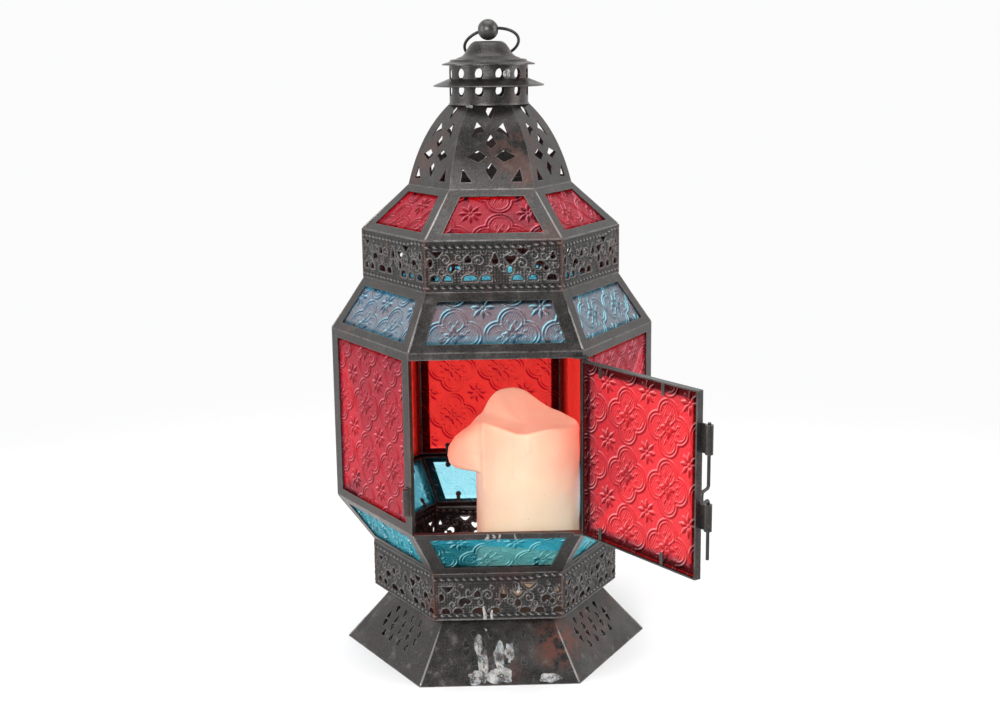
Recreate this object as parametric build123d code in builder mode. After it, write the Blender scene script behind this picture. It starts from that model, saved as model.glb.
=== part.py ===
"""Six-sided pierced tin lantern with coloured panes, a hinged door, a latch, a carrying ring and a
pillar candle. Millimetres, +Z up, origin on the table under the lantern's axis. The door's face is
towards -Y, and the door stands open.
"""

from build123d import *
from math import cos, hypot, radians, sin, sqrt
import os

os.makedirs("parts", exist_ok=True)

# --- driving dimensions -------------------------------------------------------------------------
SIDE = 102.0  # side of the glazed body, which is also its corner radius
SIDES = 6
TURN = 360 / SIDES
COS30 = cos(radians(30))
SHEET = 0.8  # tin plate

# heights of the rings, from the table up
FOOT_TOP = 36.2
FLOOR_TOP = FOOT_TOP + SHEET
LOWER_BAND_TOP = 66.7
BODY_BOTTOM = 98.2
BODY_TOP = 208.4
UPPER_BAND_BOTTOM = 240.5
UPPER_BAND_TOP = 271.4
DOME_BOTTOM = 298.6
DOME_TOP = 347.1
COLLAR_TOP = 370.6

# corner radii of the rings
FOOT_BOTTOM_R = 98.0
FOOT_TOP_R = 65.5
LOWER_BAND_R = 79.8
UPPER_BAND_R = 81.5
DOME_BOTTOM_R = 50.9
LOWER_BAND_INNER_R = LOWER_BAND_R - SHEET / COS30
UPPER_BAND_INNER_R = UPPER_BAND_R - SHEET / COS30

# glazed frames
STILE = 8.0  # width of a frame's face beside its pane
RAIL = 5.2  # and above and below it
FRAME_DEPTH = 3.2
POCKET_INSET = 2.6  # from the frame's outline to the pocket that holds the pane
PANE = 2.2
PANE_PLAY = 0.15
FRAME_TAPER = 30  # half of the turn at a corner, so that neighbouring frames mitre
TAB_PLACE = 0.3  # of the face's width, from its middle
TAB_WIDTH = 2.6
TAB_REACH = 5.6
TAB_HEAD = 1.9  # radius of a tab's round head
TAB_TIP = 2.6  # from the middle of a tab to its head
TAB_SHEET = 0.5

# dome, collar and cap
COLLAR_R = 24.3
COLLAR_HOLE = (5.4, 6.8)
BRIM_R = 34.4
BRIM_Z = 358.4
CAP_RIM_R = 28.6
CAP_TOP = 385.2
BALL_R = 6.4
BALL_Z = 392.0
BALL_BORE = 2.6
RING_R = 17.0
RING_WIRE = 0.95
RING_YAW = -10.0
RING_ROLL = 12.0
RING_DROP = 31.0

# door
DOOR_ANGLE = 124.0  # as it stands, from closed
HINGE = (51.6, -90.1)
ROD_R = 1.0
HINGE_FIT = 0.05
KNUCKLE_R = 1.5
DOOR_BOTTOM = 98.8
DOOR_TOP = 203.8
DOOR_NEAR = 3.3  # from the hinge axis to the near and far edges of the tray
DOOR_FAR = 99.9
DOOR_FACE = 0.6  # from the hinge axis to the tray's face
DOOR_RIM = 4.9  # from the hinge axis to the rim's inner edge
DOOR_BORDER = 6.5

# latch
LATCH_OUT = 105.5  # from the hinge axis to the bolt's axis
LATCH_DEPTH = 1.1
BARREL_R = 2.2
BARREL_BORE = 1.02
BOLT_R = 0.95
UPPER_BARREL = (169.8, 186.0)
LOWER_BARREL = (127.4, 142.4)
KEEPER_BARREL = (110.6, 126.7)
BOLT_BOTTOM = 111.4
BOLT_TOP = 187.2
LOOP_Z = (144.9, 151.5)
LOOP_REACH = 9.4
LOOP_TURN = 65.0  # from the door's plane towards its inner side

# candle
CANDLE_X = 22.0
CANDLE_R = 34.5
CANDLE_FOOT = FLOOR_TOP + 0.3
CANDLE_TOP = 162.0


# --- shared geometry ----------------------------------------------------------------------------
def face_normal(k):
    """Outward direction of face k, counted anticlockwise from the door's face."""
    angle = radians(-90 + TURN * k)
    return Vector(cos(angle), sin(angle), 0)


def face_plane(k, low_r, low_z, high_r, high_z):
    """Plane of one flat face between two rings: origin at the middle of its lower edge, Y up the
    slope and Z into the lantern. Also gives the length of the slope."""
    out = face_normal(k)
    run = (high_r - low_r) * COS30
    slope = hypot(run, high_z - low_z)
    up = (out * run + Vector(0, 0, high_z - low_z)) / slope
    across = out.cross(up)
    foot = out * (low_r * COS30) + Vector(0, 0, low_z)
    return Plane(origin=foot, x_dir=across, z_dir=across.cross(up)), slope


def trapezoid(low, high, slope):
    """A face's outline, drawn in its own plane."""
    Polygon((-low / 2, 0), (low / 2, 0), (high / 2, slope), (-high / 2, slope), align=None)


def inset_trapezoid(low, high, slope, inset):
    """The same outline drawn in on every side."""
    trapezoid(low, high, slope)
    offset(amount=-inset, kind=Kind.INTERSECTION, mode=Mode.REPLACE)


def window(low, high, slope):
    """What shows of the pane: the outline less its stiles and rails."""
    lean = (low - high) / 2 / slope
    stile = STILE * sqrt(1 + lean**2)
    half_low = low / 2 - lean * RAIL - stile
    half_high = high / 2 + lean * RAIL - stile
    top = slope - RAIL
    Polygon((-half_low, RAIL), (half_low, RAIL), (half_high, top), (-half_high, top), align=None)


def face_frame(plane, low, high, slope):
    """A tin frame round one pane: a flat border, with a rim behind it that mitres at the corners."""
    with BuildPart() as frame:
        with BuildSketch(plane):
            trapezoid(low, high, slope)
        extrude(amount=FRAME_DEPTH, taper=FRAME_TAPER)
        with BuildSketch(plane.offset(SHEET)):
            inset_trapezoid(low, high, slope, POCKET_INSET)
        extrude(amount=FRAME_DEPTH, mode=Mode.SUBTRACT)
        with BuildSketch(plane):
            window(low, high, slope)
        extrude(amount=FRAME_DEPTH, mode=Mode.SUBTRACT)
    return frame.part


def face_pane(plane, low, high, slope):
    """The glass behind a frame's border."""
    with BuildPart() as pane:
        with BuildSketch(plane.offset(SHEET)):
            inset_trapezoid(low, high, slope, POCKET_INSET + PANE_PLAY)
        extrude(amount=PANE)
    return pane.part


def face_tabs(plane, low, high, slope):
    """Four round-headed tin tabs, folded over the back of the pane from the rim."""
    low_x = TAB_PLACE * low
    high_x = TAB_PLACE * high
    low_y = POCKET_INSET + TAB_REACH / 2
    high_y = slope - POCKET_INSET - TAB_REACH / 2
    with BuildPart() as tabs:
        with BuildSketch(plane.offset(SHEET + PANE)):
            with Locations((-low_x, low_y), (low_x, low_y), (-high_x, high_y), (high_x, high_y)):
                Rectangle(TAB_WIDTH, TAB_REACH)
            with Locations((-low_x, low_y + TAB_TIP), (low_x, low_y + TAB_TIP)):
                Circle(TAB_HEAD)
            with Locations((-high_x, high_y - TAB_TIP), (high_x, high_y - TAB_TIP)):
                Circle(TAB_HEAD)
        extrude(amount=TAB_SHEET)
    return tabs.part


def glaze(name, low_r, low_z, high_r, high_z, faces):
    """Frames, panes and tabs for a ring of faces. The panes are written one by one."""
    frames = []
    tabs = []
    for k in faces:
        plane, slope = face_plane(k, low_r, low_z, high_r, high_z)
        frames.append(face_frame(plane, low_r, high_r, slope))
        tabs.append(face_tabs(plane, low_r, high_r, slope))
        pane = face_pane(plane, low_r, high_r, slope)
        save(pane, f"{name}_pane_{k or SIDES}")
    save(Compound(children=tabs), f"{name}_tabs")
    return frames


def save(part, name):
    """Labels a finished piece and writes it."""
    part.label = name
    export_step(part, f"parts/{name}.step")


# --- foot, floor and bands ----------------------------------------------------------------------
FOOT_WALL = 1.2  # at a corner, which is one sheet's thickness square to the slope
HOLE_PITCH = 10.15
FOOT_HOLE = ((-1.3, -2.5), (1.3, -2.5), (2.0, -1.2), (0.25, 2.7), (-0.25, 2.7), (-2.0, -1.2))

with BuildPart() as foot_skirt:
    for radius, mode in ((0, Mode.ADD), (FOOT_WALL, Mode.SUBTRACT)):
        with BuildSketch():
            RegularPolygon(FOOT_BOTTOM_R - radius, SIDES)
        with BuildSketch(Plane.XY.offset(FOOT_TOP)):
            RegularPolygon(FOOT_TOP_R - radius, SIDES)
        loft(mode=mode)
    # two zigzag pairs of rows of drop-shaped holes on every face, point up and point down
    for k in range(SIDES):
        foot_plane, foot_slope = face_plane(k, FOOT_BOTTOM_R, 0, FOOT_TOP_R, FOOT_TOP)
        for count, height, turn in ((4, 15.2, 0), (5, 20.5, 180), (5, 26.5, 0), (4, 32.1, 180)):
            with BuildSketch(foot_plane.offset(-SHEET)):
                with Locations((0, height)):
                    with GridLocations(HOLE_PITCH, 1, count, 1):
                        Polygon(*FOOT_HOLE, rotation=turn, align=None)
            extrude(amount=4 * SHEET, mode=Mode.SUBTRACT)
save(foot_skirt.part, "foot_skirt")

with BuildPart() as floor_plate:
    with BuildSketch(Plane.XY.offset(FOOT_TOP)):
        RegularPolygon(LOWER_BAND_INNER_R, SIDES)
    extrude(amount=SHEET)
save(floor_plate.part, "floor_plate")

for band_name, band_r, band_bottom, band_top in (
    ("lower_band", LOWER_BAND_R, FOOT_TOP, LOWER_BAND_TOP),
    ("upper_band", UPPER_BAND_R, UPPER_BAND_BOTTOM, UPPER_BAND_TOP),
):
    with BuildPart() as band:
        with BuildSketch(Plane.XY.offset(band_bottom)):
            RegularPolygon(band_r, SIDES)
            RegularPolygon(band_r - SHEET / COS30, SIDES, mode=Mode.SUBTRACT)
        extrude(amount=band_top - band_bottom)
    save(band.part, band_name)

# --- glazed rings -------------------------------------------------------------------------------
lower = (LOWER_BAND_INNER_R, LOWER_BAND_TOP, SIDE, BODY_BOTTOM)
upper = (SIDE, BODY_TOP, UPPER_BAND_INNER_R, UPPER_BAND_BOTTOM)
roof = (UPPER_BAND_INNER_R, UPPER_BAND_TOP, DOME_BOTTOM_R, DOME_BOTTOM)
for ring_name, ring in (("lower", lower), ("upper", upper), ("roof", roof)):
    save(Compound(children=glaze(ring_name, *ring, range(SIDES))), f"{ring_name}_frames")

walls = glaze("wall", SIDE, BODY_BOTTOM, SIDE, BODY_TOP, range(1, SIDES))
for k, wall in enumerate(walls, 1):
    save(wall, f"wall_frame_{k}")

# --- doorway: header, hinge lugs and rod --------------------------------------------------------
HEADER_BOTTOM = DOOR_TOP + 0.4
with BuildPart() as front_header:
    header_plane, header_height = face_plane(0, SIDE, HEADER_BOTTOM, SIDE, BODY_TOP)
    with BuildSketch(header_plane):
        trapezoid(SIDE, SIDE, header_height)
    extrude(amount=1.2, taper=FRAME_TAPER)
save(front_header.part, "front_header")

LUG = 1.0
LUG_HALF = 2.2
front_y = -SIDE * COS30
with BuildPart() as hinge_lugs:
    for lug_bottom in (BODY_BOTTOM - LUG, HEADER_BOTTOM + 0.2):
        with BuildSketch(Plane.XY.offset(lug_bottom)):
            with Locations((HINGE[0] - LUG_HALF, (HINGE[1] - LUG_HALF + front_y) / 2)):
                Rectangle(4 * LUG_HALF, front_y - HINGE[1] + LUG_HALF)
            with Locations(HINGE):
                Circle(ROD_R, mode=Mode.SUBTRACT)
        extrude(amount=LUG)
save(hinge_lugs.part, "hinge_lugs")

with BuildPart() as hinge_rod:
    with BuildSketch(Plane.XY.offset(BODY_BOTTOM - LUG - 0.8)):
        with Locations(HINGE):
            Circle(ROD_R)
    extrude(amount=HEADER_BOTTOM + 2.0 + LUG - BODY_BOTTOM + LUG)
save(hinge_rod.part, "hinge_rod")

# --- door ---------------------------------------------------------------------------------------
door_along = Vector(-cos(radians(DOOR_ANGLE)), -sin(radians(DOOR_ANGLE)), 0)
door_in = door_along.cross(Vector(0, 0, 1))
door_plane = Plane(origin=(*HINGE, DOOR_BOTTOM), x_dir=door_along, z_dir=door_in)
door_height = DOOR_TOP - DOOR_BOTTOM
door_width = DOOR_FAR - DOOR_NEAR
door_middle = ((DOOR_NEAR + DOOR_FAR) / 2, door_height / 2)

with BuildPart() as door_frame:
    with BuildSketch(door_plane.offset(DOOR_FACE)):
        with Locations((DOOR_FAR / 2, door_height / 2)):
            Rectangle(DOOR_FAR, door_height)
    extrude(amount=SHEET)
    with BuildSketch(door_plane.offset(DOOR_FACE + SHEET)):
        with Locations(door_middle):
            Rectangle(door_width, door_height)
            Rectangle(door_width - 2 * SHEET, door_height - 2 * SHEET, mode=Mode.SUBTRACT)
    extrude(amount=DOOR_RIM - DOOR_FACE - SHEET)
    with BuildSketch(door_plane.offset(DOOR_FACE)):
        with Locations(door_middle):
            Rectangle(door_width - 2 * DOOR_BORDER, door_height - 2 * DOOR_BORDER)
    extrude(amount=SHEET, mode=Mode.SUBTRACT)
    # rolled knuckle round the hinge rod, over the whole height
    with BuildSketch(Plane.XY.offset(DOOR_BOTTOM)):
        with Locations(HINGE):
            Circle(KNUCKLE_R)
    extrude(amount=door_height)
    with BuildSketch(Plane.XY.offset(DOOR_BOTTOM)):
        with Locations(HINGE):
            Circle(ROD_R + HINGE_FIT)
    extrude(amount=door_height, mode=Mode.SUBTRACT)
save(door_frame.part, "door_frame")

with BuildPart() as door_pane:
    with BuildSketch(door_plane.offset(DOOR_FACE + SHEET)):
        with Locations(door_middle):
            pane_trim = 2 * (SHEET + PANE_PLAY)
            Rectangle(door_width - pane_trim, door_height - pane_trim)
    extrude(amount=PANE)
save(door_pane.part, "door_pane")

CLIP_WIDTH = 2.4
CLIP_REACH = 7.0
with BuildPart() as door_clips:
    with BuildSketch(door_plane.offset(DOOR_FACE + SHEET + PANE)):
        for clip_x in (0.16, 0.71):
            for clip_y in (SHEET + CLIP_REACH / 2, door_height - SHEET - CLIP_REACH / 2):
                with Locations((DOOR_NEAR + clip_x * door_width, clip_y)):
                    Rectangle(CLIP_WIDTH, CLIP_REACH)
    extrude(amount=TAB_SHEET)
save(door_clips.part, "door_clips")

# --- latch --------------------------------------------------------------------------------------
latch = Vector(*HINGE, 0) + door_along * LATCH_OUT + door_in * LATCH_DEPTH
for barrel_name, (barrel_bottom, barrel_top) in (
    ("upper_barrel", UPPER_BARREL),
    ("lower_barrel", LOWER_BARREL),
):
    barrel_height = barrel_top - barrel_bottom
    barrel_middle = (barrel_bottom + barrel_top) / 2 - DOOR_BOTTOM
    with BuildPart() as barrel:
        with BuildSketch(door_plane.offset(DOOR_FACE)):
            with Locations(((DOOR_FAR + LATCH_OUT) / 2, barrel_middle)):
                Rectangle(LATCH_OUT - DOOR_FAR, barrel_height)
        extrude(amount=SHEET)
        with BuildSketch(Plane.XY.offset(barrel_bottom)):
            with Locations((latch.X, latch.Y)):
                Circle(BARREL_R)
        extrude(amount=barrel_height)
        with BuildSketch(Plane.XY.offset(barrel_bottom)):
            with Locations((latch.X, latch.Y)):
                Circle(BARREL_BORE)
        extrude(amount=barrel_height, mode=Mode.SUBTRACT)
    save(barrel.part, barrel_name)

# the keeper stands under the closed door's lower barrel, on the wall beside the doorway
keeper = Vector(HINGE[0] - LATCH_OUT, HINGE[1] + LATCH_DEPTH, 0)
keeper_wall = Plane(
    origin=(-SIDE / 2, front_y, KEEPER_BARREL[0]), x_dir=(-0.5, COS30, 0), z_dir=(-COS30, -0.5, 0)
)
keeper_height = KEEPER_BARREL[1] - KEEPER_BARREL[0]
with BuildPart() as keeper_barrel:
    with BuildSketch(keeper_wall):
        with Locations((3.4, -keeper_height / 2)):
            Rectangle(6.0, keeper_height)
    extrude(amount=SHEET)
    with BuildSketch(keeper_wall):
        with Locations((0.9, -keeper_height / 2)):
            Rectangle(1.2, keeper_height)
    extrude(amount=BARREL_R)
    with BuildSketch(Plane.XY.offset(KEEPER_BARREL[0])):
        with Locations((keeper.X, keeper.Y)):
            Circle(BARREL_R)
    extrude(amount=keeper_height)
    with BuildSketch(Plane.XY.offset(KEEPER_BARREL[0])):
        with Locations((keeper.X, keeper.Y)):
            Circle(BARREL_BORE)
    extrude(amount=keeper_height, mode=Mode.SUBTRACT)
save(keeper_barrel.part, "keeper_barrel")

loop_turn = radians(LOOP_TURN)
loop_along = door_along * cos(loop_turn) + door_in * sin(loop_turn)
bolt_plane = Plane(origin=(latch.X, latch.Y, 0), x_dir=loop_along, z_dir=loop_along.cross(Vector(0, 0, 1)))
with BuildPart() as latch_bolt:
    with BuildLine(bolt_plane) as bolt_line:
        FilletPolyline(
            (0, BOLT_BOTTOM),
            (0, LOOP_Z[0]),
            (LOOP_REACH, LOOP_Z[0]),
            (LOOP_REACH, LOOP_Z[1]),
            (0, LOOP_Z[1]),
            (0, BOLT_TOP),
            radius=2.0,
        )
    with BuildSketch(Plane.XY.offset(BOLT_BOTTOM)):
        with Locations((latch.X, latch.Y)):
            Circle(BOLT_R)
    sweep(path=bolt_line.line)
save(latch_bolt.part, "latch_bolt")


# --- dome, collar, brim and cap -----------------------------------------------------------------
def vault(inset):
    """The dome's outer or inner body: the same curved outline drawn across three directions, and
    only what they share kept. The outline is a face's middle line, seen from the side."""
    foot = (DOME_BOTTOM_R * COS30 - inset, DOME_BOTTOM)
    points = [foot, (40.6 - inset, 312.0), (35.2 - inset, 326.3), (21.6 - inset, DOME_TOP)]
    with BuildPart(mode=Mode.PRIVATE) as body:
        for k in range(3):
            side = Plane(origin=(0, 0, 0), x_dir=face_normal(k), z_dir=face_normal(k).cross(Vector(0, 0, 1)))
            with BuildSketch(side):
                with BuildLine():
                    right = Spline(*points)
                    mirror(right, about=Plane.YZ)
                    Line((foot[0], DOME_BOTTOM), (-foot[0], DOME_BOTTOM))
                    Line((points[-1][0], DOME_TOP), (-points[-1][0], DOME_TOP))
                make_face()
            extrude(amount=SIDE, both=True, mode=Mode.ADD if k == 0 else Mode.INTERSECT)
    return body.part


def mirrored(*points):
    """A cut on the left of a dome face and its mirror image on the right."""
    Polygon(*points, align=None)
    Polygon(*[(-x, z) for x, z in points], align=None)


def dome_cuts():
    """The pierced pattern of one dome face, drawn upright. Its four diamonds make a cross."""
    Polygon((-1.6, 345.6), (1.6, 345.6), (2.5, 343.4), (0, 338.6), (-2.5, 343.4), align=None)
    Polygon((0, 330.1), (3.4, 324.8), (0, 322.0), (-3.4, 324.8), align=None)
    Polygon((0, 313.6), (3.5, 309.7), (0, 303.7), (-3.5, 309.7), align=None)
    mirrored((-8.1, 337.4), (-3.0, 332.2), (-8.1, 330.6), (-12.0, 327.2))
    mirrored((-15.0, 317.6), (-7.6, 321.0), (-2.7, 317.5), (-7.6, 314.2))
    mirrored((-17.0, 310.4), (-18.6, 302.7), (-11.6, 302.7))


with BuildPart() as dome:
    add(vault(0))
    add(vault(SHEET), mode=Mode.SUBTRACT)
    for k in range(SIDES):
        out = face_normal(k)
        with BuildSketch(Plane(origin=out * 12, x_dir=Vector(0, 0, 1).cross(out), z_dir=out)):
            dome_cuts()
        extrude(amount=50, mode=Mode.SUBTRACT)
save(dome.part, "dome")

SEAT_HOLE_R = 19.0
with BuildPart() as collar:
    with BuildSketch(Plane.XY.offset(DOME_TOP)):
        Circle(COLLAR_R)
        Circle(COLLAR_R - SHEET, mode=Mode.SUBTRACT)
    extrude(amount=COLLAR_TOP - DOME_TOP)
    # a flat flange closes the gap between the round collar and the six-sided dome
    with BuildSketch(Plane.XY.offset(DOME_TOP)):
        Circle(COLLAR_R + 0.5)
        Circle(SEAT_HOLE_R, mode=Mode.SUBTRACT)
    extrude(amount=SHEET)
    for hole_z in (355.6, 365.6):
        for turn in range(6):
            heading = radians(15 + 30 * turn)
            aim = Vector(cos(heading), sin(heading), 0)
            with BuildSketch(Plane(origin=(0, 0, hole_z), x_dir=aim.cross(Vector(0, 0, 1)), z_dir=aim)):
                Ellipse(COLLAR_HOLE[0] / 2, COLLAR_HOLE[1] / 2)
            extrude(amount=SIDE, both=True, mode=Mode.SUBTRACT)
save(collar.part, "collar")

with BuildPart() as brim:
    with BuildSketch(Plane.XZ):
        with BuildLine():
            inner = (COLLAR_R + 0.05, BRIM_Z + 4.4)
            Spline(inner, (29.4, BRIM_Z + 2.4), (BRIM_R - 0.6, BRIM_Z + 0.6))
            Line((BRIM_R - 0.6, BRIM_Z + 0.6), (BRIM_R, BRIM_Z))
            Line((BRIM_R, BRIM_Z), (BRIM_R - 0.8, BRIM_Z - 0.4))
            Spline((BRIM_R - 0.8, BRIM_Z - 0.4), (29.2, BRIM_Z + 1.4), (COLLAR_R + 0.05, BRIM_Z + 3.5))
            Line((COLLAR_R + 0.05, BRIM_Z + 3.5), inner)
        make_face()
    revolve(axis=Axis.Z)
save(brim.part, "brim")

with BuildPart() as cap:
    with BuildSketch(Plane.XZ):
        with BuildLine() as cap_top_line:
            Polyline((2.0, CAP_TOP), (8.0, CAP_TOP))
            Spline((8.0, CAP_TOP), (11.6, 382.6), (14.0, 378.8), (18.6, 375.4))
            Polyline((18.6, 375.4), (20.2, 374.6), (23.2, 374.2), (24.2, 372.9), (CAP_RIM_R, 371.7))
            Polyline((CAP_RIM_R, 371.7), (CAP_RIM_R, 370.9), (23.8, 372.1), (22.8, 373.4), (19.6, 373.8))
            Spline((19.6, 373.8), (13.2, 378.2), (10.9, 382.0), (7.6, CAP_TOP - SHEET))
            Polyline((7.6, CAP_TOP - SHEET), (2.0, CAP_TOP - SHEET), (2.0, CAP_TOP))
        make_face()
    revolve(axis=Axis.Z)
save(cap.part, "cap")

# --- finial and carrying ring -------------------------------------------------------------------
ring_axis = Vector(cos(radians(RING_YAW)), sin(radians(RING_YAW)), 0)
with BuildPart() as finial_ball:
    with Locations((0, 0, BALL_Z)):
        Sphere(BALL_R)
    split(bisect_by=Plane.XY.offset(CAP_TOP), keep=Keep.TOP)
    with BuildSketch(Plane(origin=(0, 0, BALL_Z), x_dir=(0, 0, 1), z_dir=ring_axis)):
        Circle(BALL_BORE)
    extrude(amount=2 * BALL_R, both=True, mode=Mode.SUBTRACT)
save(finial_ball.part, "finial_ball")

SCREW_R = 1.9
SCREW_BOTTOM = 379.0
with BuildPart() as finial_screw:
    with BuildSketch(Plane.XY.offset(SCREW_BOTTOM)):
        Circle(SCREW_R)
    extrude(amount=CAP_TOP - SCREW_BOTTOM)
save(finial_screw.part, "finial_screw")

NUT_TOP = CAP_TOP - SHEET
with BuildPart() as finial_nut:
    with BuildSketch(Plane.XY.offset(NUT_TOP - 2.8)):
        RegularPolygon(4.0, SIDES)
        Circle(SCREW_R, mode=Mode.SUBTRACT)
    extrude(amount=2.8)
save(finial_nut.part, "finial_nut")

ring_back = Vector(0, 0, 1).cross(ring_axis) * cos(radians(RING_DROP)) - Vector(0, 0, sin(radians(RING_DROP)))
ring_normal = ring_axis.cross(ring_back)
ring_across = ring_axis * cos(radians(RING_ROLL)) + ring_normal * sin(radians(RING_ROLL))
RING_SAG = 0.6  # half of the arc's rise inside the ball
ring_middle = Vector(0, 0, BALL_Z) + ring_back * (RING_R - RING_SAG)
with BuildPart() as carrying_ring:
    with BuildLine(Plane(origin=ring_middle, x_dir=ring_across, z_dir=ring_across.cross(ring_back))) as hoop:
        CenterArc((0, 0), RING_R, 0, 360)
    with BuildSketch(Plane(origin=ring_middle + ring_across * RING_R, z_dir=ring_back)):
        Circle(RING_WIRE)
    sweep(path=hoop.line)
save(carrying_ring.part, "carrying_ring")

# --- candle -------------------------------------------------------------------------------------
# a burnt-down pillar: a hollow of melted wax, deepest at the middle, under a rim that dips at the
# front, where a lip of wax has run out to the left
MELT_R = 28.0
DIP_Z = 136.0
with BuildPart() as candle:
    with BuildSketch(Plane.XY.offset(CANDLE_FOOT)):
        with Locations((CANDLE_X, 0)):
            Circle(CANDLE_R)
    extrude(amount=CANDLE_TOP - CANDLE_FOOT)
    fillet(candle.edges().group_by(Axis.Z)[-1], radius=5.0)
    with BuildSketch(Plane.YZ.offset(CANDLE_X)):
        with BuildLine():
            Polyline((-SIDE, CANDLE_TOP + 1), (-SIDE, DIP_Z), (-CANDLE_R, DIP_Z), (6, CANDLE_TOP + 1), close=True)
        make_face()
    extrude(amount=SIDE, both=True, mode=Mode.SUBTRACT)
    with BuildSketch(Plane.XY.offset(CANDLE_TOP)):
        with Locations((CANDLE_X, 0)):
            Circle(MELT_R)
    extrude(amount=-34, taper=14, mode=Mode.SUBTRACT)
    with Locations((CANDLE_X - CANDLE_R - 6.4, -14, 124.0)):
        Box(28, 20, 17)
    with Locations((CANDLE_X, 0, CANDLE_TOP - 34)):
        Cylinder(1.1, 12, mode=Mode.SUBTRACT)
save(candle.part, "candle")

with BuildPart() as wick:
    with Locations((CANDLE_X, 0, CANDLE_TOP - 34)):
        Cylinder(1.1, 12)
    with Locations((CANDLE_X, 0, CANDLE_TOP - 24)):
        Cylinder(1.1, 8)
save(wick.part, "wick")
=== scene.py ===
"""Looks for a six-sided glazed tin lantern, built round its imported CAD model.

The panes become pressed glass, the two bands embossed and pierced tin, and the candle a burnt-down
pillar. Solder seams, wax drips and a plain pale studio are added. Everything is in metres in the
CAD frame; the sizes inside the pattern functions are in millimetres."""

from math import cos, hypot, pi, radians, sin

import bmesh
import bpy
import numpy as np
from mathutils import Matrix, Vector, noise


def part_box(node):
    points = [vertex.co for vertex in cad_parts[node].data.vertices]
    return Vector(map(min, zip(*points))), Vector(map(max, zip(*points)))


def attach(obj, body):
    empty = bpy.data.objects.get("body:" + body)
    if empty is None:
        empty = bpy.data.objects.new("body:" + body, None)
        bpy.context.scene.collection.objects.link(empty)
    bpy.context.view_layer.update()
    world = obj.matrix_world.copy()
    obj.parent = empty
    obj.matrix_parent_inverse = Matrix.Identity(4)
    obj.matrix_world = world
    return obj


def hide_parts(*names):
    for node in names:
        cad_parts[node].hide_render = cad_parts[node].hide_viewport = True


bl_info = {
    "name": "Lantern looks",
    "version": (1, 0, 0),
    "blender": (4, 5, 0),
    "location": "3D View > Sidebar > Lantern",
    "description": "Dresses the CAD model of a glazed tin lantern",
    "category": "Object",
}

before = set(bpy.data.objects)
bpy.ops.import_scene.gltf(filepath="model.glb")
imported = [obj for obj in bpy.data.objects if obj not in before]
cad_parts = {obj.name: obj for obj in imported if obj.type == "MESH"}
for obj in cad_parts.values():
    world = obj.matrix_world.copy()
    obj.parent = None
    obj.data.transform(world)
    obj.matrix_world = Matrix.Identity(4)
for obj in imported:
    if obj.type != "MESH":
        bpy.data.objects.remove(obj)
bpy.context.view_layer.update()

MM = 0.001
SIDES = 6
SHEET = 0.8 * MM
rng = np.random.default_rng(7)


# --- settings -----------------------------------------------------------------------------------
def length(name, description, default):
    """A size in metres that a user can change."""
    return bpy.props.FloatProperty(
        name=name, description=description, default=default, min=0, unit="LENGTH", subtype="DISTANCE"
    )


def colour(name, description, default):
    """A colour that a user can change."""
    return bpy.props.FloatVectorProperty(
        name=name, description=description, default=default, min=0, max=1, size=3, subtype="COLOR"
    )


class LanternSizes(bpy.types.PropertyGroup):
    glass_cell: length("Glass cell", "Spacing of the points of the pressed pattern", 0.00062)
    glass_depth: length("Glass depth", "How deep the glass is pressed", 0.0005)
    medallion: length("Medallion", "Pitch of the pattern in the glass", 0.034)
    band_cell: length("Band cell", "Spacing of the points of the embossed bands", 0.00048)
    band_depth: length("Band depth", "How deep the bands are embossed", 0.0012)
    seam: length("Seam", "Radius of the solder along the corners", 0.0007)
    candle_skin: length("Candle skin", "Unevenness of the candle's side", 0.0005)


class LanternColours(bpy.types.PropertyGroup):
    tin: colour("Tin", "Darkened tin", (0.0185, 0.0165, 0.0157))
    bare: colour("Bare", "Tin rubbed bright", (0.175, 0.165, 0.155))
    copper: colour("Copper", "Rust and copper tones", (0.13, 0.042, 0.028))
    wire: colour("Wire", "Dark wire", (0.018, 0.017, 0.017))
    red: colour("Red glass", "What a red pane lets through", (1.0, 0.065, 0.055))
    red_dark: colour("Red ridge", "The same through a ridge", (0.22, 0.000, 0.006))
    blue: colour("Blue glass", "What an upper pane lets through", (0.20, 0.74, 0.90))
    blue_dark: colour("Blue ridge", "The same through a ridge", (0.004, 0.10, 0.22))
    aqua: colour("Turquoise glass", "What a lower pane lets through", (0.28, 0.82, 0.97))
    aqua_dark: colour("Turquoise ridge", "The same through a ridge", (0.003, 0.17, 0.24))
    wax: colour("Wax", "Body of the candle", (1.0, 0.72, 0.50))
    # colour of the painted glow of light through the wax, also used for its warmer parts
    wax_blush: colour("Warm wax", "Molten parts of the candle", (1.0, 0.50, 0.34))


def sizes():
    return bpy.context.scene.lantern_sizes


def colours():
    return bpy.context.scene.lantern_colours


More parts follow.
